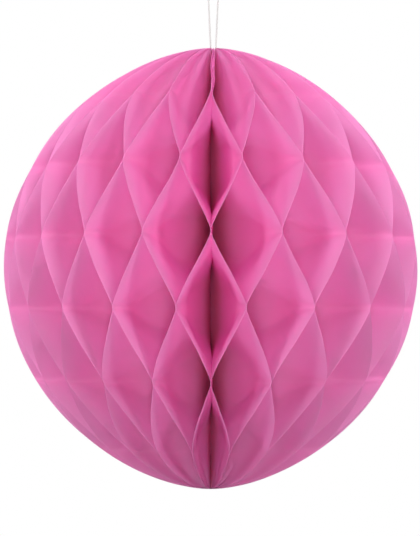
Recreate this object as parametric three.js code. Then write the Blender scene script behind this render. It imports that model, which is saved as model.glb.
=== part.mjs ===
// Honeycomb paper ball on a thread loop.
// Tissue leaves are glued to each other along level lines, by turns on one side and on the other, and the
// flat stack is opened through a full turn until its two cover cards meet at the back.
// Millimetres, +Z up along the spine, origin at the middle of the ball, front towards -Y.
import * as THREE from 'three';

// Outline of the ball
const SPINE_LENGTH = 200;
const BALL_REACH = 93.5; // from the axis to the widest point
const FULLNESS_ABOVE_RATIO = 0.588; // power of the outline above the middle, where 0.5 is an ellipse
const FULLNESS_BELOW_RATIO = 0.571; // power of the outline below the middle

// Honeycomb
const CELL_COUNT = 20;
const GLUE_SPACING = 31.25; // height from one glue line to the next
const TOP_GLUE_DROP = 25; // from the top of the spine to the first glue line
const BOTTOM_GLUE_ROOM = 6; // least room from the last glue line to the bottom of the spine
const GLUE_STRIP = 2.4; // height of one glue line
const FOLD_EASE_RATIO = 0.4; // curve of a leaf between glue lines: 0 is a straight slope, 1 a full wave
const UNEVEN_OPENING_DEG = 7.9; // how far the right side is pulled open wider than the left

// Leaves
const LEAF_THICKNESS = 0.2;
const LEAF_TIP = 1.5; // width of a leaf at its top and bottom end
const GLUE_GAP = 0.2; // clearance between glued neighbours
const BETWEEN_GLUE_STEPS = 3;
const END_STEPS = 5;

// Cover cards and the tape between them
const CARD_THICKNESS = 0.35;
const CARD_LAP = 2; // how far the cards reach past the axis, towards the front
const CARD_TIP = 4; // reach of a card at its top and bottom end
const CARD_EDGE_STEPS = 28;
const TAPE_THICKNESS = 0.1;
const TAPE_GAP = 0.15; // clearance between the tape and each card
const TAPE_WIDTH = 12;
const TAPE_LENGTH = 25;
const TAPE_SPACING = 52; // height from one strip to the next
const TAPE_INSET = 4; // from the edge of the card to a strip

// Hanging thread
const THREAD_DIAMETER = 0.6;
const THREAD_SIDES = 6;
const THREAD_STEPS = 96;
const THREAD_HOLE_DIAMETER = 2.2;
const THREAD_HOLE_DROP = 8; // from the top of the spine to the hole in the cards
const HOLE_SIDES = 12;
const STRAND_OFFSET = 1.2; // from the plane between the cards to the thread on each side of them
const LOOP_RISE = 45; // from the top of the spine to the top of the loop
const LOOP_WIDTH = 6.3;
const BEND_STEPS = 4;
const KNOT_DIAMETER = 1.6;
const KNOT_SIDES = 10;
const KNOT_ROW_COUNT = 6;
const KNOT_GAP = 0.25; // clearance round the knot

const HALF_SPINE = SPINE_LENGTH / 2;
const COLUMNS = 2 * CELL_COUNT;
const CARD_INNER_FACE = TAPE_THICKNESS / 2 + TAPE_GAP;
const CARD_OUTER_FACE = CARD_INNER_FACE + CARD_THICKNESS;
const HOLE_HEIGHT = HALF_SPINE - THREAD_HOLE_DROP;
const KNOT_ACROSS = CARD_OUTER_FACE + KNOT_GAP + KNOT_DIAMETER / 2;

// Distance from the middle of a leaf to the plane that it is glued at
const GLUE_OFFSET = (LEAF_THICKNESS + GLUE_GAP) / 2;
const SEAM_OFFSET = CARD_OUTER_FACE + GLUE_GAP + LEAF_THICKNESS / 2;

const tissue = { color: 0xe86eb2, roughness: 0.85, metalness: 0 };
const card = { color: 0xd95a9f, roughness: 0.8, metalness: 0 };
const tape = { color: 0xf2ede4, roughness: 0.5, metalness: 0 };
const cotton = { color: 0xf7f7f5, roughness: 0.9, metalness: 0 };

function namedMesh(name, geometry, finish) {
  const mesh = new THREE.Mesh(geometry, new THREE.MeshStandardMaterial(finish));
  mesh.name = name;
  return mesh;
}

// Points along part of a circle
function arc(centre, radius, fromDeg, toDeg, steps) {
  const spoke = new THREE.Vector2(radius, 0).add(centre);
  return Array.from({ length: steps + 1 }, (_, i) => {
    const turn = THREE.MathUtils.lerp(fromDeg, toDeg, i / steps);
    return spoke.clone().rotateAround(centre, THREE.MathUtils.degToRad(turn));
  });
}

// Corners of a round outline
function ring(centre, diameter, sides) {
  return arc(centre, diameter / 2, 0, 360, sides).slice(0, sides);
}

function fullness(side) {
  return side > 0 ? FULLNESS_ABOVE_RATIO : FULLNESS_BELOW_RATIO;
}

// Distance from the axis to the outline at a height
function reachAt(height) {
  return BALL_REACH * (1 - (height / HALF_SPINE) ** 2) ** fullness(height);
}

// Height above (side 1) or below (side -1) the middle where the outline comes in to a reach
function heightAt(reach, side) {
  return side * HALF_SPINE * Math.sqrt(1 - (reach / BALL_REACH) ** (1 / fullness(side)));
}

// Heights from one level to another, spaced evenly round the outline, without the last
function outlineHeights(from, to, steps) {
  const start = Math.asin(from / HALF_SPINE);
  const end = Math.asin(to / HALF_SPINE);
  const angles = Array.from({ length: steps }, (_, i) => THREE.MathUtils.lerp(start, end, i / steps));
  return angles.map((angle) => HALF_SPINE * Math.sin(angle));
}

// Direction of a column of glue points, from the seam at column 0, past the front, to the seam again
function columnAngle(column) {
  const evenAngle = (column / COLUMNS - 0.5) * 2 * Math.PI;
  const bias = THREE.MathUtils.degToRad(UNEVEN_OPENING_DEG) * (1 - Math.cos(evenAngle));
  return evenAngle + bias - Math.PI / 2;
}

function glueLines() {
  const count = Math.floor((SPINE_LENGTH - TOP_GLUE_DROP - BOTTOM_GLUE_ROOM) / GLUE_SPACING) + 1;
  return Array.from({ length: count }, (_, i) => ({
    height: HALF_SPINE - TOP_GLUE_DROP - i * GLUE_SPACING,
    side: i % 2 === 0 ? 1 : -1,
  }));
}

// Share of the way across its wedge that a leaf has swung, part way from one glue line to the next
function swing(share) {
  return THREE.MathUtils.lerp(share, THREE.MathUtils.smoothstep(share, 0, 1), FOLD_EASE_RATIO);
}

// Stations from the top of a leaf to its bottom: a height, and a lean of 1 against its even column
// or -1 against its odd column
function leafStations(tipReach) {
  const lines = glueLines();
  const halfStrip = GLUE_STRIP / 2;
  const first = lines[0];
  const last = lines[lines.length - 1];
  const top = outlineHeights(heightAt(tipReach, 1), first.height + halfStrip, END_STEPS);
  const bottom = outlineHeights(heightAt(tipReach, -1), last.height - halfStrip, END_STEPS);
  const stations = top.map((height) => ({ height, lean: first.side }));
  lines.forEach((line, i) => {
    stations.push({ height: line.height + halfStrip, lean: line.side });
    stations.push({ height: line.height - halfStrip, lean: line.side });
    for (let step = 1; line !== last && step < BETWEEN_GLUE_STEPS; step += 1) {
      const share = step / BETWEEN_GLUE_STEPS;
      const upper = line.height - halfStrip;
      const lower = lines[i + 1].height + halfStrip;
      stations.push({
        height: THREE.MathUtils.lerp(upper, lower, share),
        lean: line.side * (1 - 2 * swing(share)),
      });
    }
  });
  stations.push(...bottom.reverse().map((height) => ({ height, lean: last.side })));
  return stations;
}

// Closed solid through four-cornered sections from bottom to top, each anticlockwise seen from above.
// Opposite sides are split along the same diagonal, so that a twisted sheet keeps its thickness
function loft(sections) {
  const corners = 4;
  const index = [];
  for (let i = 0; i < (sections.length - 1) * corners; i += 1) {
    const corner = i % corners;
    const next = corner === corners - 1 ? i + 1 - corners : i + 1;
    if (corner < corners / 2) {
      index.push(i, next, next + corners, i, next + corners, i + corners);
    } else {
      index.push(i, next, i + corners, next, next + corners, i + corners);
    }
  }
  const top = (sections.length - 1) * corners;
  index.push(0, 2, 1, 0, 3, 2);
  index.push(top, top + 1, top + 2, top, top + 2, top + 3);
  const geometry = new THREE.BufferGeometry().setFromPoints(sections.flat());
  geometry.setIndex(index);
  return geometry;
}

// Distance from the axis to the inner edge of a leaf, clear of its neighbours and of the cards
function innerReach(middle, wedge) {
  const besideLeaves = GLUE_OFFSET / Math.sin(wedge / 2);
  const fromSeam = middle - columnAngle(0);
  const facesSeam = Math.cos(fromSeam) > 0;
  return facesSeam ? Math.max(besideLeaves, SEAM_OFFSET / Math.abs(Math.sin(fromSeam))) : besideLeaves;
}

// One leaf, ruled from a straight inner edge to an outer edge that swings between its two columns
function paperLeaf(number) {
  const start = columnAngle(number);
  const end = columnAngle(number + 1);
  const startOffset = number === 0 ? SEAM_OFFSET : GLUE_OFFSET;
  const endOffset = number === COLUMNS - 1 ? SEAM_OFFSET : GLUE_OFFSET;
  const evenColumnFirst = number % 2 === 0;
  const middle = (start + end) / 2;
  const inner = innerReach(middle, end - start);
  const sections = leafStations(inner + LEAF_TIP).reverse().map(({ height, lean }) => {
    const reach = reachAt(height);
    const nearStart = start + Math.asin(startOffset / reach);
    const nearEnd = end - Math.asin(endOffset / reach);
    const share = (1 + (evenColumnFirst ? -lean : lean)) / 2;
    const angle = THREE.MathUtils.lerp(nearStart, nearEnd, share);
    const innerPoint = new THREE.Vector3(inner * Math.cos(middle), inner * Math.sin(middle), height);
    const outerPoint = new THREE.Vector3(reach * Math.cos(angle), reach * Math.sin(angle), height);
    const along = outerPoint.clone().sub(innerPoint).normalize();
    const half = new THREE.Vector3(-along.y, along.x, 0).multiplyScalar(LEAF_THICKNESS / 2);
    return [
      innerPoint.clone().sub(half),
      outerPoint.clone().sub(half),
      outerPoint.clone().add(half),
      innerPoint.clone().add(half),
    ];
  });
  return namedMesh(`paper_leaf_${String(number + 1).padStart(2, '0')}`, loft(sections), tissue);
}

// Half-disc of card with a punched hole for the thread, standing on the plane of the seam
function coverCard(name, outerFace) {
  const top = heightAt(CARD_TIP, 1);
  const bottom = heightAt(CARD_TIP, -1);
  const edge = [...outlineHeights(bottom, top, CARD_EDGE_STEPS), top];
  const outline = new THREE.Shape();
  outline.moveTo(-CARD_LAP, bottom);
  edge.forEach((height) => outline.lineTo(reachAt(height), height));
  outline.lineTo(-CARD_LAP, top);
  outline.closePath();
  const hole = ring(new THREE.Vector2(0, HOLE_HEIGHT), THREAD_HOLE_DIAMETER, HOLE_SIDES);
  outline.holes.push(new THREE.Path(hole));
  const geometry = new THREE.ExtrudeGeometry(outline, { depth: CARD_THICKNESS, bevelEnabled: false });
  const mesh = namedMesh(name, geometry.rotateX(Math.PI / 2), card);
  mesh.position.y = outerFace;
  return mesh;
}

// Strip of double-sided tape between the cards, near their round edge
function closingTape(name, height) {
  const farEnd = height + Math.sign(height) * TAPE_LENGTH / 2;
  const mesh = namedMesh(name, new THREE.BoxGeometry(TAPE_WIDTH, TAPE_THICKNESS, TAPE_LENGTH), tape);
  mesh.position.set(reachAt(farEnd) - TAPE_INSET - TAPE_WIDTH / 2, 0, height);
  return mesh;
}

// Thread from the knot, through the hole in the cards, up one side, round the loop and down the other side
function hangingThread() {
  const bendCentre = new THREE.Vector2(0, HOLE_HEIGHT + STRAND_OFFSET);
  const loopCentre = new THREE.Vector2(0, HALF_SPINE + LOOP_RISE - LOOP_WIDTH / 2);
  const route = [
    new THREE.Vector2(CARD_OUTER_FACE, HOLE_HEIGHT),
    ...arc(bendCentre, STRAND_OFFSET, -90, -180, BEND_STEPS),
    new THREE.Vector2(-STRAND_OFFSET, HALF_SPINE),
    ...arc(loopCentre, LOOP_WIDTH / 2, 180, 0, BEND_STEPS),
    new THREE.Vector2(STRAND_OFFSET, HALF_SPINE),
    new THREE.Vector2(KNOT_ACROSS, HOLE_HEIGHT + KNOT_DIAMETER / 2 + KNOT_GAP),
  ];
  const points = route.map((point) => new THREE.Vector3(0, point.x, point.y));
  const section = new THREE.Shape(ring(new THREE.Vector2(), THREAD_DIAMETER, THREAD_SIDES));
  const geometry = new THREE.ExtrudeGeometry(section, {
    steps: THREAD_STEPS,
    extrudePath: new THREE.CatmullRomCurve3(points),
  });
  return namedMesh('hanging_thread', geometry, cotton);
}

// The knot ties the two ends of the thread, in the open channel along the axis
function threadKnot() {
  const geometry = new THREE.SphereGeometry(KNOT_DIAMETER / 2, KNOT_SIDES, KNOT_ROW_COUNT);
  const mesh = namedMesh('thread_knot', geometry, cotton);
  mesh.position.set(0, KNOT_ACROSS, HOLE_HEIGHT);
  return mesh;
}

const ball = new THREE.Group();
for (let number = 0; number < COLUMNS; number += 1) {
  ball.add(paperLeaf(number));
}

// The seam stands across the frame's own axes: X runs out along the cards, Y across them
const seam = new THREE.Group();
seam.rotation.z = columnAngle(0);
seam.add(coverCard('cover_card_left', CARD_OUTER_FACE));
seam.add(coverCard('cover_card_right', -CARD_INNER_FACE));
seam.add(closingTape('closing_tape_top', TAPE_SPACING));
seam.add(closingTape('closing_tape_middle', 0));
seam.add(closingTape('closing_tape_bottom', -TAPE_SPACING));
seam.add(hangingThread());
seam.add(threadKnot());
ball.add(seam);

export default ball;
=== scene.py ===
"""Honeycomb paper ball of pink tissue leaves, hung on a white thread loop."""

import math

import bmesh
import bpy
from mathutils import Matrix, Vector


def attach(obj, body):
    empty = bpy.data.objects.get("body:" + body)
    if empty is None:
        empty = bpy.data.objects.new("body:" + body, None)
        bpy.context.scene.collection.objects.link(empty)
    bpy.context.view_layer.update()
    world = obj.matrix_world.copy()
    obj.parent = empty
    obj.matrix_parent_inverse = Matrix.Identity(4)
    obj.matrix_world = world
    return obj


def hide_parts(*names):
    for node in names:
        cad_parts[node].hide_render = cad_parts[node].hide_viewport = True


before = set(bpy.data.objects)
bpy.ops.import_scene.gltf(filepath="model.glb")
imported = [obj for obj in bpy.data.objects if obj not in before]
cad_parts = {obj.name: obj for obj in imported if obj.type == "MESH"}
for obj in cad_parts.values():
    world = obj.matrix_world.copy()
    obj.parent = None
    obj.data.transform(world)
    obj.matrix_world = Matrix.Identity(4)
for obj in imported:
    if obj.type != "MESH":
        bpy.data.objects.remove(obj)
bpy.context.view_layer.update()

MM = 0.001

# Outline of the ball
SPINE_LENGTH = 200 * MM
BALL_REACH = 93.5 * MM
FULLNESS_ABOVE = 0.588
FULLNESS_BELOW = 0.571
HALF_SPINE = SPINE_LENGTH / 2

# Honeycomb: the glue strips are longer inside than at the rim
COLUMNS = 40
UNEVEN_OPENING = math.radians(7.9)
FIRST_GLUE_HEIGHT = 75 * MM
GLUE_SPACING = 31.25 * MM
LAST_GLUE_LINE = 5
RIM_GLUE_STRIP = 2.2 * MM
INNER_GLUE_STRIP = 18 * MM
INNER_STRIP_SHARE = 0.45
RIM_STRIP_SHARE = 0.95
RIM_FOLD_EASE = 0.15
INNER_FOLD_EASE = 0.6
FREE_END = 9 * MM
FREE_END_OPENING = 0.06

# Tissue leaves
PAPER_THICKNESS = 0.08 * MM
GLUE_OFFSET = 0.06 * MM
SEAM_OFFSET = 0.85 * MM
LEAF_TIP = 1.5 * MM
LEAF_ROWS = 260
LEAF_COLUMNS = 15
EDGE_WAVE = 0.6 * MM
EDGE_WAVE_LENGTH = 14 * MM
FACE_WAVE = 0.8 * MM
FACE_WAVE_LENGTH = 22 * MM
FREE_END_WAVES = 2.2
LEAF_BOW = 0.009
CHANNEL_REACH = 2.6 * MM
CHANNEL_DEPTH = 12 * MM
TOP_LEAN = 1.2 * MM
TOP_LEAN_HEIGHT = 35 * MM
CUT_EDGE_ANGLE = math.radians(60)

# Where the painted shade at the spine, the painted rim shade and the painted highlight at the cut edge
# fade, by the share of the way out to the rim; and where the glue lines fade, by height at a glue line
PAINTED_SPINE_SHADE_FADE = (0.04, 0.34)
PAINTED_RIM_SHADE_FADE = (0.55, 0.88)
PAINTED_EDGE_HIGHLIGHT_FADE = (0.88, 0.98)
GLUE_LINE_FADE = (0.25 * MM, 0.7 * MM)

# Cover cards
CARD_INNER_FACE = 0.2 * MM
CARD_THICKNESS = 0.35 * MM
CARD_OUTER_FACE = CARD_INNER_FACE + CARD_THICKNESS
CARD_TIP = 4 * MM
CARD_SETBACK = 1.2 * MM
CARD_LAP = 2 * MM
CARD_SLOPE = 3 * MM
CARD_STEPS = 96
THREAD_HOLE_DIAMETER = 2.2 * MM
HOLE_STEPS = 24

# Hanging thread
THREAD_DIAMETER = 0.72 * MM
THREAD_HOLE_DROP = 8 * MM
STRAND_OFFSET = 1.2 * MM
LOOP_RISE = 45 * MM
LOOP_WIDTH = 6.3 * MM
KNOT_DIAMETER = 1.6 * MM
KNOT_ACROSS = 1.6 * MM
KNOT_ROOM = 1.05 * MM
KNOT_STEPS = 48
PLIES = 3
PLY_LAY = 2.2 * MM
PLY_STEPS = 12
PLY_RADIUS_SHARE = 0.24
PLY_OFFSET_SHARE = 0.26

# Camera and stage
CAMERA_DISTANCE = 855 * MM
CAMERA_DROP = 26 * MM
VIEW_HEIGHT = 243.6 * MM
AIM = Vector((-0.3 * MM, 0, 0))
FLOOR_DROP = 420 * MM
FLOOR_RADIUS = 1.8
ROOM_LIGHT = 0.12
LIGHT_BOUNCES = 40


def colour(red, green, blue):
    """A colour from its three display levels of 0 to 255."""
    levels = [level / 255 for level in (red, green, blue)]
    return [(x / 12.92 if x <= 0.04045 else ((x + 0.055) / 1.055) ** 2.4) for x in levels] + [1]


class Socket:
    """One output of a node. Sums on it add Math nodes to its tree."""

    def __init__(self, sheet, node, socket):
        self.sheet = sheet
        self.node = node
        self.socket = socket

    def out(self, name):
        return Socket(self.sheet, self.node, named(self.node.outputs, name))

    def __add__(self, other):
        return self.sheet.math("ADD", self, other)

    def __sub__(self, other):
        return self.sheet.math("SUBTRACT", self, other)

    def __rsub__(self, other):
        return self.sheet.math("SUBTRACT", other, self)

    def __mul__(self, other):
        return self.sheet.math("MULTIPLY", self, other)

    def __truediv__(self, other):
        return self.sheet.math("DIVIDE", self, other)

    def __rtruediv__(self, other):
        return self.sheet.math("DIVIDE", other, self)

    def __pow__(self, other):
        return self.sheet.math("POWER", self, other)

    __radd__ = __add__
    __rmul__ = __mul__


def named(sockets, key):
    """The socket in use with that name, or at that place."""
    in_use = [socket for socket in sockets if socket.enabled]
    if isinstance(key, int):
        return in_use[key]
    return next(socket for socket in in_use if socket.name == key)


class Sheet:
    """A node tree that is written node by node."""

    def __init__(self, tree):
        self.tree = tree

    def node(self, kind, settings=None, sockets=None):
        """A new node: its settings first, then the values or links of its sockets."""
        node = self.tree.nodes.new(kind)
        for name, value in (settings or {}).items():
            setattr(node, name, value)
        for key, value in (sockets or {}).items():
            for each in value if isinstance(value, tuple) else (value,):
                if isinstance(each, Socket):
                    self.tree.links.new(each.socket, named(node.inputs, key))
                else:
                    named(node.inputs, key).default_value = each
        outputs = [socket for socket in node.outputs if socket.enabled]
        return Socket(self, node, outputs[0] if outputs else None)

    def math(self, operation, *values):
        return self.node("ShaderNodeMath", {"operation": operation}, dict(enumerate(values)))

    def vector(self, x, y, z):
        return self.node("ShaderNodeCombineXYZ", None, {"X": x, "Y": y, "Z": z})

    def blend(self, share, first, second):
        """First where share is 0, second where it is 1."""
        return first + (second - first) * share

    def ramp(self, value, low, high, kind="LINEAR"):
        """0 up to low, 1 from high on."""
        return self.node(
            "ShaderNodeMapRange",
            {"interpolation_type": kind, "clamp": True},
            {"Value": value, "From Min": low, "From Max": high},
        )

    def noise(self, place, scale, detail, roughness=0.5):
        return self.node(
            "ShaderNodeTexNoise",
            None,
            {"Vector": place, "Scale": scale, "Detail": detail, "Roughness": roughness},
        )


def column_angle(column):
    """Direction of a column of glue points, from the seam at column 0 round to the seam again."""
    even = (column / COLUMNS - 0.5) * 2 * math.pi
    return even + UNEVEN_OPENING * (1 - math.cos(even)) - math.pi / 2


def height_at(reach, side):
    """Height above (side 1) or below (side -1) the middle where the outline comes in to a reach."""
    power = FULLNESS_ABOVE if side > 0 else FULLNESS_BELOW
    return side * HALF_SPINE * math.sqrt(1 - (reach / BALL_REACH) ** (1 / power))


SEAM_ANGLE = column_angle(0)
ALONG_SEAM = Vector((math.cos(SEAM_ANGLE), math.sin(SEAM_ANGLE), 0))
ACROSS_SEAM = Vector((-math.sin(SEAM_ANGLE), math.cos(SEAM_ANGLE), 0))
UP = Vector((0, 0, 1))
THREAD_HOLE_HEIGHT = HALF_SPINE - THREAD_HOLE_DROP


def inner_reach(middle, wedge):
    """Distance from the axis to the inner edge of a leaf, clear of its neighbours and of the cards."""
    beside_leaves = GLUE_OFFSET / math.sin(wedge / 2)
    from_seam = middle - SEAM_ANGLE
    if math.cos(from_seam) <= 0:
        return beside_leaves
    return max(beside_leaves, SEAM_OFFSET / abs(math.sin(from_seam)))


def outline_reach(sheet, height):
    """Distance from the axis to the outline at a height."""
    above = sheet.math("GREATER_THAN", height, 0)
    power = FULLNESS_BELOW + (FULLNESS_ABOVE - FULLNESS_BELOW) * above
    level = height / HALF_SPINE
    return BALL_REACH * sheet.math("MAXIMUM", 1 - level * level, 0) ** power


def distance_from_axis(sheet, spot):
    return sheet.math("SQRT", spot.out("X") * spot.out("X") + spot.out("Y") * spot.out("Y"))


def new_tree(name, inputs):
    """An empty Geometry Nodes tree with named inputs and one geometry out."""
    tree = bpy.data.node_groups.new(name, "GeometryNodeTree")
    tree.interface.new_socket("Geometry", in_out="OUTPUT", socket_type="NodeSocketGeometry")
    for label, kind in inputs.items():
        tree.interface.new_socket(label, in_out="INPUT", socket_type=kind)
    return tree


def closing(sheet, geometry, material):
    """Ends a tree: one plain mesh in one material."""
    whole = sheet.node("GeometryNodeRealizeInstances", None, {"Geometry": geometry})
    dressed = sheet.node("GeometryNodeSetMaterial", None, {"Geometry": whole, "Material": material})
    sheet.node("NodeGroupOutput", None, {"Geometry": dressed})


def grown(name, data, tree, values):
    """An object whose shape comes from a tree, with the values of the tree's named inputs."""
    piece = bpy.data.objects.new(name, data)
    bpy.context.scene.collection.objects.link(piece)
    modifier = piece.modifiers.new("shape", "NODES")
    modifier.node_group = tree
    for item in tree.interface.items_tree:
        if item.in_out == "INPUT" and item.name in values:
            modifier[item.identifier] = values[item.name]
    return piece


def plain_mesh(piece):
    """The shape that a piece's modifiers give it, as a mesh of its own."""
    depsgraph = bpy.context.evaluated_depsgraph_get()
    return bpy.data.meshes.new_from_object(piece.evaluated_get(depsgraph), depsgraph=depsgraph)


def leaf_tree(material):
    """A tissue leaf, ruled from a straight inner edge to a rim that swings between two glue columns."""
    inputs = {
        "Start Angle": "NodeSocketFloat",
        "End Angle": "NodeSocketFloat",
        "Start Offset": "NodeSocketFloat",
        "End Offset": "NodeSocketFloat",
        "Inner Reach": "NodeSocketFloat",
        "Bottom Turn": "NodeSocketFloat",
        "Top Turn": "NodeSocketFloat",
        "Lean": "NodeSocketFloat",
        "Seed": "NodeSocketFloat",
        "Thickness": "NodeSocketFloat",
        "Rows": "NodeSocketInt",
        "Columns": "NodeSocketInt",
    }
    tree = new_tree("tissue leaf", inputs)
    sheet = Sheet(tree)
    given = sheet.node("NodeGroupInput")
    grid = sheet.node(
        "GeometryNodeMeshGrid",
        None,
        {"Vertices X": given.out("Columns"), "Vertices Y": given.out("Rows")},
    )
    spot = sheet.node(
        "ShaderNodeSeparateXYZ", None, {0: sheet.node("GeometryNodeInputPosition")}
    )
    out_share = spot.out("X") + 0.5
    up_share = spot.out("Y") + 0.5

    # Height of the point, and how far the rim leans from one column to the other there
    turn = sheet.blend(up_share, given.out("Bottom Turn"), given.out("Top Turn"))
    height = HALF_SPINE * sheet.math("SINE", turn)
    reach = outline_reach(sheet, height)
    line = (FIRST_GLUE_HEIGHT - height) / GLUE_SPACING
    glued_line = sheet.math("MINIMUM", sheet.math("MAXIMUM", line, 0), LAST_GLUE_LINE)
    free_end = sheet.math("ABSOLUTE", line - glued_line) * GLUE_SPACING
    fold = sheet.math("PINGPONG", glued_line, 1)
    near_rim = sheet.ramp(out_share, INNER_STRIP_SHARE, RIM_STRIP_SHARE, "SMOOTHSTEP")
    strip = sheet.blend(near_rim, INNER_GLUE_STRIP, RIM_GLUE_STRIP) / (2 * GLUE_SPACING)
    straight = sheet.ramp(fold, strip, 1 - strip)
    eased = sheet.ramp(fold, strip, 1 - strip, "SMOOTHSTEP")
    swing = sheet.blend(sheet.blend(near_rim, INNER_FOLD_EASE, RIM_FOLD_EASE), straight, eased)
    opening = FREE_END_OPENING * sheet.ramp(free_end, 0, FREE_END, "SMOOTHSTEP")
    lean = (1 - 2 * swing) * (1 - opening) * given.out("Lean")

    # Rim of the leaf, which waves most where no glue holds it, and each leaf in its own way
    near_start = given.out("Start Angle") + sheet.math("ARCSINE", given.out("Start Offset") / reach)
    near_end = given.out("End Angle") - sheet.math("ARCSINE", given.out("End Offset") / reach)
    edge_place = sheet.vector(
        given.out("Seed") * 7.3, given.out("Seed") * 3.1, height / EDGE_WAVE_LENGTH
    )
    unheld = 4 * straight * (1 - straight) + FREE_END_WAVES * sheet.ramp(free_end, 0, FREE_END)
    edge_wave = EDGE_WAVE * unheld * (2 * sheet.noise(edge_place, 1, 1) - 1)
    angle = sheet.blend((1 - lean) / 2, near_start, near_end) + edge_wave / reach

    # Point on the line from the inner edge to the rim, with the hollows and the bow of the face
    middle = (given.out("Start Angle") + given.out("End Angle")) / 2
    channel = sheet.ramp(height, HALF_SPINE - 1.5 * CHANNEL_DEPTH, HALF_SPINE - CHANNEL_DEPTH)
    inner = sheet.math("MAXIMUM", given.out("Inner Reach"), CHANNEL_REACH * channel)
    inner_x = inner * sheet.math("COSINE", middle)
    inner_y = inner * sheet.math("SINE", middle)
    run_x = reach * sheet.math("COSINE", angle) - inner_x
    run_y = reach * sheet.math("SINE", angle) - inner_y
    run = sheet.math("SQRT", run_x * run_x + run_y * run_y)
    face_place = sheet.vector(out_share * 4, given.out("Seed") * 5.7, height / FACE_WAVE_LENGTH)
    hollow = 4 * out_share * (1 - out_share)
    face_wave = FACE_WAVE * unheld * (2 * sheet.noise(face_place, 1, 1) - 1) / run
    from_seam = (1 - sheet.math("COSINE", angle - SEAM_ANGLE)) / 2
    quarter_out = 9.5 * out_share * (1 - out_share) ** 3  # 1 at a quarter of the way out
    bow = hollow * face_wave + quarter_out * LEAF_BOW * from_seam
    near_top = sheet.ramp(height, HALF_SPINE - TOP_LEAN_HEIGHT, HALF_SPINE, "SMOOTHSTEP")
    place = sheet.vector(
        inner_x + run_x * out_share - run_y * bow + TOP_LEAN * near_top * from_seam,
        inner_y + run_y * out_share + run_x * bow,
        height,
    )
    middle_sheet = sheet.node("GeometryNodeSetPosition", None, {"Geometry": grid, "Position": place})

    # Paper thickness: the sheet moves back by half, and is drawn out to a closed wall
    normal = sheet.node("GeometryNodeInputNormal")
    half_back = sheet.node(
        "ShaderNodeVectorMath",
        {"operation": "SCALE"},
        {"Vector": normal, "Scale": given.out("Thickness") * -0.5},
    )
    back = sheet.node("GeometryNodeSetPosition", None, {"Geometry": middle_sheet, "Offset": half_back})
    drawn = sheet.node(
        "GeometryNodeExtrudeMesh",
        {"mode": "FACES"},
        {"Mesh": back, "Offset Scale": given.out("Thickness"), "Individual": False},
    )
    turned = sheet.node("GeometryNodeFlipFaces", None, {"Mesh": back})
    both = sheet.node("GeometryNodeJoinGeometry", None, {"Geometry": (drawn, turned)})
    wall = sheet.node("GeometryNodeMergeByDistance", None, {"Geometry": both, "Distance": 0.001 * MM})

    # Smooth faces that end at crisp cut edges
    smooth = sheet.node("GeometryNodeSetShadeSmooth", {"domain": "FACE"}, {"Geometry": wall})
    corner = sheet.node("GeometryNodeInputMeshEdgeAngle").out("Unsigned Angle")
    edged = sheet.node(
        "GeometryNodeSetShadeSmooth",
        {"domain": "EDGE"},
        {
            "Geometry": smooth,
            "Selection": sheet.math("GREATER_THAN", corner, CUT_EDGE_ANGLE),
            "Shade Smooth": False,
        },
    )
    closing(sheet, edged, material)
    return tree


def tissue_leaves(material):
    tree = leaf_tree(material)
    leaves = []
    for number in range(COLUMNS):
        start = column_angle(number)
        end = column_angle(number + 1)
        inner = inner_reach((start + end) / 2, end - start)
        values = {
            "Start Angle": start,
            "End Angle": end,
            "Start Offset": SEAM_OFFSET if number == 0 else GLUE_OFFSET,
            "End Offset": SEAM_OFFSET if number == COLUMNS - 1 else GLUE_OFFSET,
            "Inner Reach": inner,
            "Bottom Turn": math.asin(height_at(inner + LEAF_TIP, -1) / HALF_SPINE),
            "Top Turn": math.asin(height_at(max(inner, CHANNEL_REACH) + LEAF_TIP, 1) / HALF_SPINE),
            "Lean": 1.0 if number % 2 == 0 else -1.0,
            "Seed": float(number),
            "Thickness": PAPER_THICKNESS,
            "Rows": LEAF_ROWS,
            "Columns": LEAF_COLUMNS,
        }
        name = f"tissue_leaf_{number + 1:02d}"
        leaves.append(grown(name, bpy.data.meshes.new(name), tree, values))
    meshes = [plain_mesh(leaf) for leaf in leaves]
    for number, (leaf, mesh) in enumerate(zip(leaves, meshes)):
        leaf.modifiers.clear()
        leaf.data = mesh
        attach(leaf, "root")
        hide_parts(f"paper_leaf_{number + 1:02d}")


def card_outline():
    """Points of a card's edge as (out along the seam, height): the round edge, then the straight one."""
    lowest = math.asin(height_at(CARD_TIP, -1) / HALF_SPINE)
    highest = math.asin(height_at(CARD_TIP, 1) / HALF_SPINE)
    points = []
    for step in range(CARD_STEPS + 1):
        height = HALF_SPINE * math.sin(lowest + (highest - lowest) * step / CARD_STEPS)
        power = FULLNESS_ABOVE if height > 0 else FULLNESS_BELOW
        points.append((BALL_REACH * (1 - (height / HALF_SPINE) ** 2) ** power, height))
    lap_height = HALF_SPINE - CHANNEL_DEPTH
    points += [(-CARD_LAP, points[-1][1]), (-CARD_LAP, lap_height)]
    points += [(CARD_SETBACK, lap_height - CARD_SLOPE), (CARD_SETBACK, points[0][1])]
    return points


def hole_outline():
    """Points of the edge of the hole that the thread goes through."""
    turns = [2 * math.pi * step / HOLE_STEPS for step in range(HOLE_STEPS)]
    radius = THREAD_HOLE_DIAMETER / 2
    return [(radius * math.cos(turn), THREAD_HOLE_HEIGHT + radius * math.sin(turn)) for turn in turns]


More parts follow.
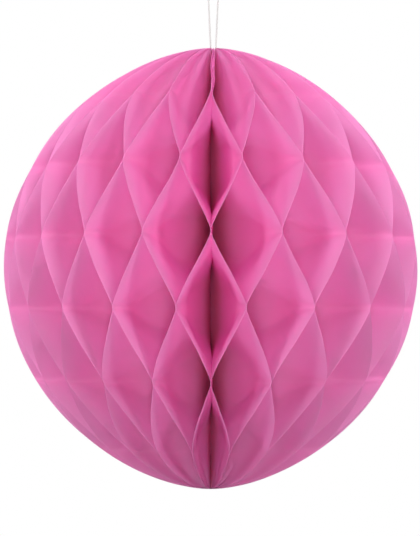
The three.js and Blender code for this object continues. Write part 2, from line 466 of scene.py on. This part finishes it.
def half_round_card(side, first_face, material):
    """One of the two cards that meet at the seam, from its first face across by its thickness."""
    name = f"half_round_card_{side}"
    card = bmesh.new()
    for loop in (card_outline(), hole_outline()):
        corners = []
        for reach, height in loop:
            corners.append(card.verts.new(ALONG_SEAM * reach + ACROSS_SEAM * first_face + UP * height))
        for corner, following in zip(corners, corners[1:] + corners[:1]):
            card.edges.new((corner, following))
    bmesh.ops.triangle_fill(card, use_beauty=True, use_dissolve=False, edges=card.edges)
    drawn = bmesh.ops.extrude_face_region(card, geom=card.faces[:], use_keep_orig=True)
    far_corners = [item for item in drawn["geom"] if isinstance(item, bmesh.types.BMVert)]
    bmesh.ops.translate(card, verts=far_corners, vec=ACROSS_SEAM * CARD_THICKNESS)
    bmesh.ops.recalc_face_normals(card, faces=card.faces)
    mesh = bpy.data.meshes.new(name)
    card.to_mesh(mesh)
    card.free()
    mesh.materials.append(material)
    piece = bpy.data.objects.new(name, mesh)
    bpy.context.scene.collection.objects.link(piece)
    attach(piece, "root")
    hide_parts(f"cover_card_{side}")


def across_seam(across, height):
    """A point beside the seam, on the plane that the thread hangs in."""
    return ACROSS_SEAM * across + UP * height


def arc(centre_height, radius, start, end, steps):
    """Points of a bend in the thread as (across the seam, height)."""
    turns = [math.radians(start + (end - start) * i / steps) for i in range(steps + 1)]
    return [(radius * math.cos(turn), centre_height + radius * math.sin(turn)) for turn in turns]


def thread_route():
    """From the knot through the cards, up one side, round the loop and down the other side."""
    hole = THREAD_HOLE_HEIGHT
    loop_centre = HALF_SPINE + LOOP_RISE - LOOP_WIDTH / 2
    route = [(CARD_OUTER_FACE, hole)]
    route += arc(hole + STRAND_OFFSET, STRAND_OFFSET, -90, -180, 6)
    route += [(-STRAND_OFFSET, HALF_SPINE)]
    route += arc(loop_centre, LOOP_WIDTH / 2, 180, 0, 16)
    route += [(STRAND_OFFSET, HALF_SPINE), (KNOT_ACROSS, hole + KNOT_ROOM)]
    points = [across_seam(across, height) for across, height in route]
    lean = Vector((TOP_LEAN, 0, 0))
    return [point + lean if point.z >= HALF_SPINE else point for point in points]


def knot_route():
    """A trefoil: the thread's two ends drawn tight round each other."""
    middle = across_seam(KNOT_ACROSS, THREAD_HOLE_HEIGHT)
    size = KNOT_DIAMETER / 8
    points = []
    for step in range(KNOT_STEPS + 1):
        turn = 2 * math.pi * step / KNOT_STEPS
        along = math.sin(turn) + 2 * math.sin(2 * turn)
        up = math.cos(turn) - 2 * math.cos(2 * turn)
        across = -math.sin(3 * turn)
        points.append(middle + size * (ALONG_SEAM * along + UP * up + ACROSS_SEAM * across))
    return points


def twist_tree(material):
    """Plies wound round each other along a curve."""
    inputs = {
        "Curve": "NodeSocketGeometry",
        "Diameter": "NodeSocketFloat",
        "Lay": "NodeSocketFloat",
        "Step": "NodeSocketFloat",
    }
    tree = new_tree("twisted thread", inputs)
    sheet = Sheet(tree)
    given = sheet.node("NodeGroupInput")
    line = sheet.node(
        "GeometryNodeResampleCurve",
        {"mode": "LENGTH"},
        {"Curve": given.out("Curve"), "Length": given.out("Step")},
    )
    normal = sheet.node("GeometryNodeInputNormal")
    tangent = sheet.node("GeometryNodeInputTangent")
    side = sheet.node("ShaderNodeVectorMath", {"operation": "CROSS_PRODUCT"}, {0: tangent, 1: normal})
    along = sheet.node("GeometryNodeSplineParameter").out("Length")
    ply_radius = given.out("Diameter") * PLY_RADIUS_SHARE
    ply_offset = given.out("Diameter") * PLY_OFFSET_SHARE
    section = sheet.node(
        "GeometryNodeCurvePrimitiveCircle", None, {"Resolution": 7, "Radius": ply_radius}
    )
    plies = []
    for ply in range(PLIES):
        phase = along * (2 * math.pi) / given.out("Lay") + 2 * math.pi * ply / PLIES
        out = sheet.node(
            "ShaderNodeVectorMath",
            {"operation": "SCALE"},
            {"Vector": normal, "Scale": ply_offset * sheet.math("COSINE", phase)},
        )
        over = sheet.node(
            "ShaderNodeVectorMath",
            {"operation": "SCALE"},
            {"Vector": side, "Scale": ply_offset * sheet.math("SINE", phase)},
        )
        shift = sheet.node("ShaderNodeVectorMath", {"operation": "ADD"}, {0: out, 1: over})
        wound = sheet.node("GeometryNodeSetPosition", None, {"Geometry": line, "Offset": shift})
        plies.append(
            sheet.node(
                "GeometryNodeCurveToMesh",
                None,
                {"Curve": wound, "Profile Curve": section, "Fill Caps": True},
            )
        )
    joined = sheet.node("GeometryNodeJoinGeometry", None, {"Geometry": tuple(plies)})
    smooth = sheet.node("GeometryNodeSetShadeSmooth", {"domain": "FACE"}, {"Geometry": joined})
    closing(sheet, smooth, material)
    return tree


def poly_curve(name, points):
    curve = bpy.data.curves.new(name, "CURVE")
    curve.dimensions = "3D"
    spline = curve.splines.new("POLY")
    spline.points.add(len(points) - 1)
    for point, place in zip(spline.points, points):
        point.co = (*place, 1)
    return curve


def twisted_piece(name, points, tree):
    """A piece of twisted thread along points, as a plain mesh."""
    values = {"Diameter": THREAD_DIAMETER, "Lay": PLY_LAY, "Step": PLY_LAY / PLY_STEPS}
    guide = grown(name + "_guide", poly_curve(name + "_guide", points), tree, values)
    piece = bpy.data.objects.new(name, plain_mesh(guide))
    bpy.context.scene.collection.objects.link(piece)
    bpy.data.objects.remove(guide)
    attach(piece, "root")
    return piece


def hanging_thread(material):
    tree = twist_tree(material)
    route = thread_route()
    thread = twisted_piece("twisted_thread", route, tree)
    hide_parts("hanging_thread")
    knot = twisted_piece("drawn_knot", knot_route(), tree)
    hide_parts("thread_knot")
    across_seam(0, HALF_SPINE)
    sum((b - a).length for a, b in zip(route, route[1:]))


def new_material(name):
    material = bpy.data.materials.new(name)
    material.use_nodes = True
    material.node_tree.nodes.clear()
    return material, Sheet(material.node_tree)


def tint(sheet, share, first, second):
    """A colour between two."""
    return sheet.node(
        "ShaderNodeMix", {"data_type": "RGBA"}, {"Factor": share, "A": first, "B": second}
    )


def tissue_paper():
    """Thin pink paper, with light and shade painted by the distance from the axis: paler deep in the cells,
    deeper towards the rim, a painted highlight at the cut edge and painted shade at the spine.
    """
    material, sheet = new_material("pink_tissue_paper")
    place = sheet.node("ShaderNodeTexCoord").out("Object")
    spot = sheet.node("ShaderNodeSeparateXYZ", None, {0: place})
    height = spot.out("Z")
    cloud = sheet.noise(place, 130, 3)
    fibre = sheet.noise(place, 1400, 2, 0.6)
    line = sheet.math("PINGPONG", (FIRST_GLUE_HEIGHT - height) / GLUE_SPACING + 8, 0.5)
    glue = 1 - sheet.ramp(line * GLUE_SPACING, *GLUE_LINE_FADE, "SMOOTHSTEP")

    # Places on the leaf for the painted light and shade, from the spine out to the cut edge
    reach = sheet.math("MAXIMUM", outline_reach(sheet, height), LEAF_TIP)
    out_share = distance_from_axis(sheet, spot) / reach
    spine = 1 - sheet.ramp(out_share, *PAINTED_SPINE_SHADE_FADE, "SMOOTHSTEP")
    rim = sheet.ramp(out_share, *PAINTED_RIM_SHADE_FADE, "SMOOTHSTEP")
    cut_edge = sheet.ramp(out_share, *PAINTED_EDGE_HIGHLIGHT_FADE, "SMOOTHSTEP")

    base = tint(sheet, cloud, colour(251, 205, 239), colour(252, 219, 246))
    # Painted shade: the pink deepens from mid-leaf towards the rim, which leaves the walls deep in the
    # cells paler
    painted_rim_shade = tint(sheet, 0.9 * rim, base, colour(248, 161, 216))
    # Painted highlight: a paler band along the cut edge of each leaf
    painted_edge_highlight = tint(sheet, 0.75 * cut_edge, painted_rim_shade, colour(252, 180, 224))
    # Painted shade: dark deep pink by the spine, where the cells close in
    painted_spine_shade = tint(sheet, 0.7 * spine, painted_edge_highlight, colour(232, 92, 156))
    light_pink = colour(252, 206, 240)
    fibrous = tint(sheet, 0.3 * sheet.ramp(fibre, 0.5, 0.75), painted_spine_shade, light_pink)
    lined = tint(sheet, 0.2 * glue, fibrous, light_pink)
    bump = sheet.node(
        "ShaderNodeBump",
        None,
        {"Strength": 0.25, "Distance": 0.1 * MM, "Height": fibre + 0.6 * cloud + 0.4 * glue},
    )
    surface = sheet.node(
        "ShaderNodeBsdfPrincipled",
        None,
        {
            "Base Color": lined,
            "Roughness": 0.72 + 0.16 * fibre,
            "Specular IOR Level": 0.05,
            "Normal": bump,
        },
    )
    through = sheet.node(
        "ShaderNodeBsdfTranslucent", None, {"Color": colour(252, 213, 243), "Normal": bump}
    )
    mixed = sheet.node(
        "ShaderNodeMixShader", None, {0: 0.57 + 0.12 * cloud - 0.05 * glue, 1: surface, 2: through}
    )
    sheet.node("ShaderNodeOutputMaterial", None, {"Surface": mixed})
    return material


def pink_card():
    material, sheet = new_material("pink_cover_card")
    place = sheet.node("ShaderNodeTexCoord").out("Object")
    fibre = sheet.noise(place, 700, 4, 0.6)
    cloud = sheet.noise(place, 60, 2)
    base = tint(sheet, cloud, colour(232, 122, 182), colour(240, 134, 192))
    flecked = tint(sheet, 0.3 * sheet.ramp(fibre, 0.55, 0.8), base, colour(247, 162, 209))
    bump = sheet.node(
        "ShaderNodeBump", None, {"Strength": 0.2, "Distance": 0.1 * MM, "Height": fibre}
    )
    surface = sheet.node(
        "ShaderNodeBsdfPrincipled",
        None,
        {"Base Color": flecked, "Roughness": 0.6 + 0.2 * fibre, "Normal": bump},
    )
    sheet.node("ShaderNodeOutputMaterial", None, {"Surface": surface})
    return material


def closing_tape():
    material, sheet = new_material("cream_closing_tape")
    place = sheet.node("ShaderNodeTexCoord").out("Object")
    cloud = sheet.noise(place, 220, 3)
    base = tint(sheet, cloud, colour(232, 226, 212), colour(246, 242, 232))
    bump = sheet.node(
        "ShaderNodeBump", None, {"Strength": 0.15, "Distance": 0.1 * MM, "Height": cloud}
    )
    surface = sheet.node(
        "ShaderNodeBsdfPrincipled",
        None,
        {"Base Color": base, "Roughness": 0.4 + 0.2 * cloud, "Normal": bump},
    )
    sheet.node("ShaderNodeOutputMaterial", None, {"Surface": surface})
    return material


def white_cotton():
    material, sheet = new_material("white_cotton")
    place = sheet.node("ShaderNodeTexCoord").out("Object")
    fibre = sheet.noise(place, 6000, 3, 0.6)
    base = tint(sheet, fibre, colour(186, 185, 183), colour(214, 213, 211))
    bump = sheet.node(
        "ShaderNodeBump", None, {"Strength": 0.4, "Distance": 0.05 * MM, "Height": fibre}
    )
    surface = sheet.node(
        "ShaderNodeBsdfPrincipled",
        None,
        {"Base Color": base, "Roughness": 0.8 + 0.15 * fibre, "Normal": bump},
    )
    sheet.node("ShaderNodeOutputMaterial", None, {"Surface": surface})
    return material


def dress(node_name, material):
    """Gives a CAD node its finish."""
    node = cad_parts[node_name]
    node.data.materials.clear()
    node.data.materials.append(material)


def camera():
    lens = bpy.data.cameras.new("camera")
    lens.sensor_width = 36
    lens.lens = lens.sensor_width * CAMERA_DISTANCE / VIEW_HEIGHT
    lens.clip_start = 0.01
    stand = bpy.data.objects.new("camera", lens)
    bpy.context.scene.collection.objects.link(stand)
    stand.location = AIM + Vector((0, -CAMERA_DISTANCE, -CAMERA_DROP))
    stand.rotation_euler = (AIM - stand.location).to_track_quat("-Z", "Y").to_euler()
    bpy.context.scene.camera = stand


def soft_light(name, place, size, power):
    lamp = bpy.data.lights.new(name, "AREA")
    lamp.size = size
    lamp.energy = power
    stand = bpy.data.objects.new(name, lamp)
    bpy.context.scene.collection.objects.link(stand)
    stand.location = place
    stand.rotation_euler = (-Vector(place)).to_track_quat("-Z", "Y").to_euler()


def pair_of_lights(name, place, size, power):
    """One lamp on the right, and one on the left."""
    x, y, z = place
    soft_light(name + "_right", (x, y, z), size, power)
    soft_light(name + "_left", (-x, y, z), size, power)


def white_room():
    """Soft light from all round. The camera, and what mirrors or lets through, sees plain white."""
    world = bpy.data.worlds.new("white_room")
    bpy.context.scene.world = world
    world.use_nodes = True
    world.node_tree.nodes.clear()
    sheet = Sheet(world.node_tree)
    ray = sheet.node("ShaderNodeLightPath")
    mirrored = sheet.math("MAXIMUM", ray.out("Is Camera Ray"), ray.out("Is Glossy Ray"))
    let_through = ray.out("Is Transmission Ray") * (1 - ray.out("Is Diffuse Ray"))
    plain = sheet.math("MAXIMUM", mirrored, let_through)
    strength = sheet.blend(plain, ROOM_LIGHT, 1)
    light = sheet.node("ShaderNodeBackground", None, {"Color": colour(255, 255, 255), "Strength": strength})
    sheet.node("ShaderNodeOutputWorld", None, {"Surface": light})


def pale_floor():
    mesh = bpy.data.meshes.new("floor")
    disc = bmesh.new()
    bmesh.ops.create_circle(disc, cap_ends=True, segments=128, radius=FLOOR_RADIUS)
    bmesh.ops.translate(disc, verts=disc.verts, vec=(0, 0, -FLOOR_DROP))
    disc.to_mesh(mesh)
    disc.free()
    floor = bpy.data.objects.new("floor", mesh)
    bpy.context.scene.collection.objects.link(floor)
    material, sheet = new_material("pale_floor")
    spot = sheet.node(
        "ShaderNodeSeparateXYZ", None, {0: sheet.node("ShaderNodeTexCoord").out("Object")}
    )
    from_middle = distance_from_axis(sheet, spot)
    to_camera = sheet.node("ShaderNodeLightPath").out("Is Camera Ray")
    pale = tint(sheet, to_camera, colour(80, 80, 80), colour(240, 240, 240))
    matt = sheet.node("ShaderNodeBsdfDiffuse", None, {"Color": pale})
    white = sheet.node("ShaderNodeEmission", None, {"Strength": 1})
    faded = sheet.ramp(from_middle, 0.5 * FLOOR_RADIUS, FLOOR_RADIUS, "SMOOTHSTEP")
    mixed = sheet.node("ShaderNodeMixShader", None, {0: faded, 1: matt, 2: white})
    from_below = sheet.node("ShaderNodeNewGeometry").out("Backfacing")
    open_below = sheet.node(
        "ShaderNodeMixShader", None, {0: from_below, 1: mixed, 2: sheet.node("ShaderNodeBsdfTransparent")}
    )
    sheet.node("ShaderNodeOutputMaterial", None, {"Surface": open_below})
    mesh.materials.append(material)


camera()
hanging_thread(white_cotton())
tissue_leaves(tissue_paper())
card = pink_card()
half_round_card("left", CARD_INNER_FACE, card)
half_round_card("right", -CARD_OUTER_FACE, card)
tape = closing_tape()
for level in ("top", "middle", "bottom"):
    dress(f"closing_tape_{level}", tape)

white_room()
soft_light("front", (0, -1.7, -0.12), 0.3, 15)
pair_of_lights("front", (1.12, -1.28, 0.08), 0.3, 6)
pair_of_lights("above", (0.747, -1.067, 1.093), 0.4, 10)
pair_of_lights("behind", (0.87, 1.34, 0.58), 0.8, 10)
soft_light("behind", (0, 1.7, -0.03), 0.3, 9)
pale_floor()
scene = bpy.context.scene
scene.view_settings.view_transform = "Standard"
scene.cycles.max_bounces = LIGHT_BOUNCES
scene.cycles.diffuse_bounces = LIGHT_BOUNCES
scene.cycles.transmission_bounces = LIGHT_BOUNCES
